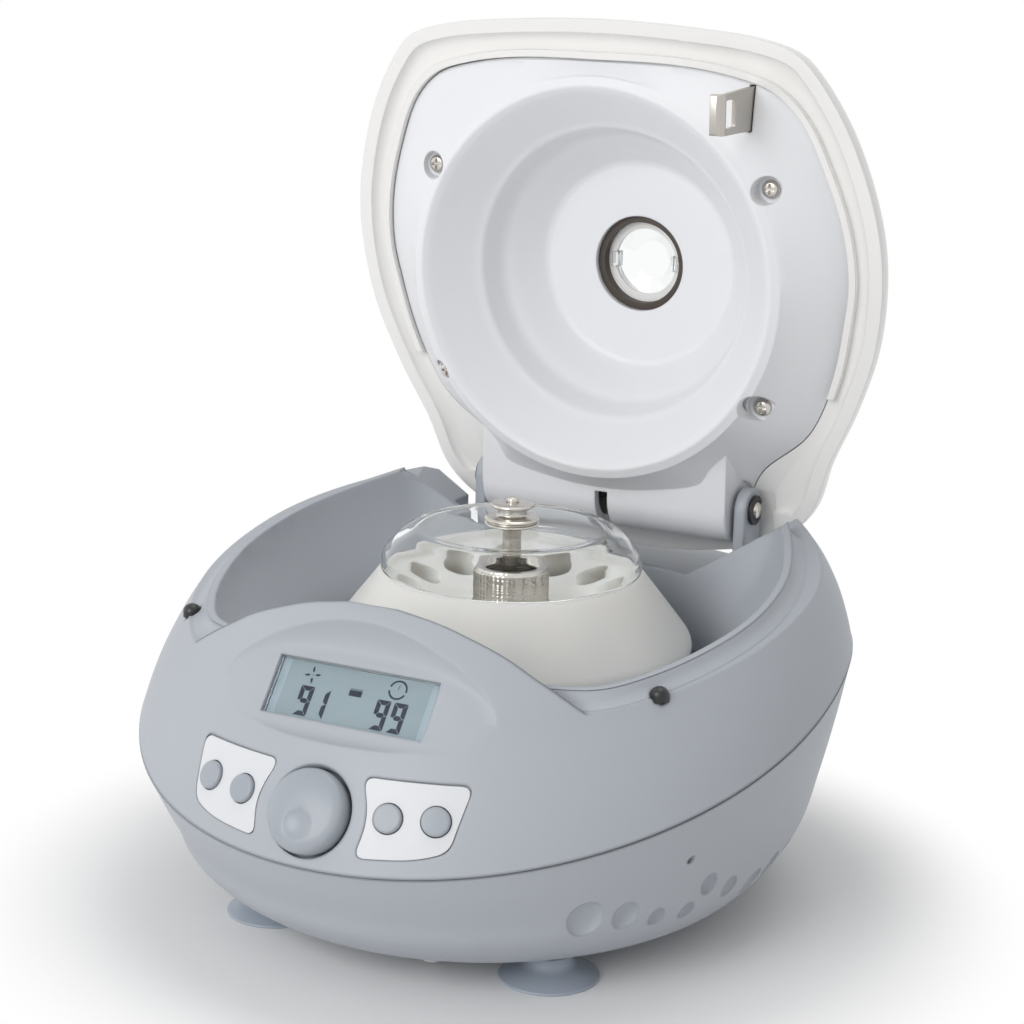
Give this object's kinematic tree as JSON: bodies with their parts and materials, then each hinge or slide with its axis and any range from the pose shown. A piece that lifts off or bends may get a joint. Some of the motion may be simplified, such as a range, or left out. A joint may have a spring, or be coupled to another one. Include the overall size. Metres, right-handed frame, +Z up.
{
  "type": "mini centrifuge",
  "caption": "Bench-top mini centrifuge for micro tubes, with a hinged lid with a window, a fixed-angle rotor, a front display, keys and a control knob.",
  "frame": {"origin": "under the centre of the bounding box, on the plane the feet stand on, with the lid open", "axes": "X to the right of the operator, Y from the front panel to the rear, Z up"},
  "size_m": [0.226, 0.2482, 0.2819],
  "materials": {
    "grey_shell": "fine satin grain, cool light grey",
    "grey_seat": "satin, slightly darker cool grey",
    "white": "smooth semi-gloss white",
    "liner": "satin pale grey white",
    "rotor": "satin milky white",
    "clear": "clear polished plastic",
    "steel": "fine brushed stainless steel",
    "dark_steel": "zinc plated motor can",
    "rubber": "matte black rubber",
    "grey_rubber": "soft matte grey rubber",
    "black": "satin black",
    "display": "grey green liquid crystal",
    "board": "green board lacquer"
  },
  "bodies": {
    "housing": {"lower_housing": "grey_shell", "upper_housing": "grey_shell", "hinge_bracket_left": "grey_shell", "hinge_bracket_right": "grey_shell", "chamber_bowl": "grey_seat", "left_key_plate": "white", "right_key_plate": "white", "display_window": "clear", "motor_plate": "steel", "hinge_pin": "steel", "hinge_spring": "steel", "motor": "dark_steel", "motor_mount_1": "rubber", "motor_mount_2": "rubber", "motor_mount_3": "rubber", "bumper_left": "rubber", "bumper_right": "rubber", "foot_front_left": "grey_rubber", "foot_front_right": "grey_rubber", "foot_rear_left": "grey_rubber", "foot_rear_right": "grey_rubber", "knob_encoder": "black", "lid_lock": "black", "power_jack": "black", "switch_frame": "black", "hinge_clip_left": "black", "hinge_clip_right": "black", "display_module": "display", "control_board": "board", "main_board": "board"},
    "lid": {"lid_shell": "white", "lid_liner": "liner", "window_ring": "white", "window_lens": "clear", "latch_plate": "steel", "lid_screw_front_left": "steel", "lid_screw_front_right": "steel", "lid_screw_rear_left": "steel", "lid_screw_rear_right": "steel"},
    "rotor": {"rotor_body": "rotor", "drive_shaft": "steel"},
    "nut": {"rotor_nut": "steel"},
    "cover": {"rotor_cover": "clear"},
    "cover_knob": {"cover_knob": "steel"},
    "cover_pin": {"cover_pin": "steel"},
    "control_knob": {"control_knob": "grey_seat"},
    "select_button": {"select_button": "grey_seat"},
    "pulse_button": {"pulse_button": "grey_seat"},
    "lid_button": {"lid_button": "grey_seat"},
    "start_button": {"start_button": "grey_seat"},
    "lock_bolt": {"lock_bolt": "steel"},
    "release_plug": {"release_plug": "white"},
    "power_switch": {"power_switch": "black"}
  },
  "joints": [
    {"name": "lid_hinge", "type": "hinge", "parent": "housing", "child": "lid", "pos_m": [0, 0.08754, 0.11683], "axis": [1, 0, 0], "range_deg": [0, 88.36], "stiffness_Nm_per_rad": 0.24},
    {"name": "rotor_spin", "type": "hinge", "parent": "housing", "child": "rotor", "pos_m": [0, 0.00881, 0.08], "axis": [0, 0, 1], "continuous": true},
    {"name": "rotor_nut_turn", "type": "hinge", "parent": "rotor", "child": "nut", "pos_m": [0, 0.00881, 0.1], "axis": [0, 0, 1], "range_deg": [0, 360]},
    {"name": "cover_turn", "type": "hinge", "parent": "rotor", "child": "cover", "pos_m": [0, 0.00881, 0.112], "axis": [0, 0, 1], "range_deg": [0, 360]},
    {"name": "cover_knob_turn", "type": "hinge", "parent": "cover", "child": "cover_knob", "pos_m": [0, 0.00881, 0.122], "axis": [0, 0, 1], "range_deg": [0, 360]},
    {"name": "cover_pin_press", "type": "slide", "parent": "cover_knob", "child": "cover_pin", "axis": [0, 0, -1], "range_m": [0, 0.0018], "stiffness_N_per_m": 300},
    {"name": "control_knob_turn", "type": "hinge", "parent": "housing", "child": "control_knob", "pos_m": [0, -0.11875, 0.06502], "axis": [0, -0.8599, 0.5105], "continuous": true},
    {"name": "lock_bolt_slide", "type": "slide", "parent": "housing", "child": "lock_bolt", "axis": [-1, 0, 0], "range_m": [0, 0.006]},
    {"name": "release_plug_slide", "type": "slide", "parent": "housing", "child": "release_plug", "axis": [0, 0, 1], "range_m": [0, 0.0024]},
    {"name": "power_switch_rock", "type": "hinge", "parent": "housing", "child": "power_switch", "pos_m": [-0.012, 0.1068, 0.043], "axis": [0, 0, 1], "range_deg": [0, 12]},
    {"name": "select_button_press", "type": "slide", "parent": "housing", "child": "select_button", "axis": [0.2911, 0.8494, -0.4402], "range_m": [0, 0.0008], "stiffness_N_per_m": 400},
    {"name": "pulse_button_press", "type": "slide", "parent": "housing", "child": "pulse_button", "axis": [0.1833, 0.8735, -0.451], "range_m": [0, 0.0008], "stiffness_N_per_m": 400},
    {"name": "lid_button_press", "type": "slide", "parent": "housing", "child": "lid_button", "axis": [-0.1807, 0.8728, -0.4535], "range_m": [0, 0.0008], "stiffness_N_per_m": 400},
    {"name": "start_button_press", "type": "slide", "parent": "housing", "child": "start_button", "axis": [-0.2882, 0.8488, -0.4432], "range_m": [0, 0.0008], "stiffness_N_per_m": 400}
  ],
  "couplings": [
    {"joint": "release_plug_slide", "follows": "lock_bolt_slide", "ratio": 0.4}
  ]
}
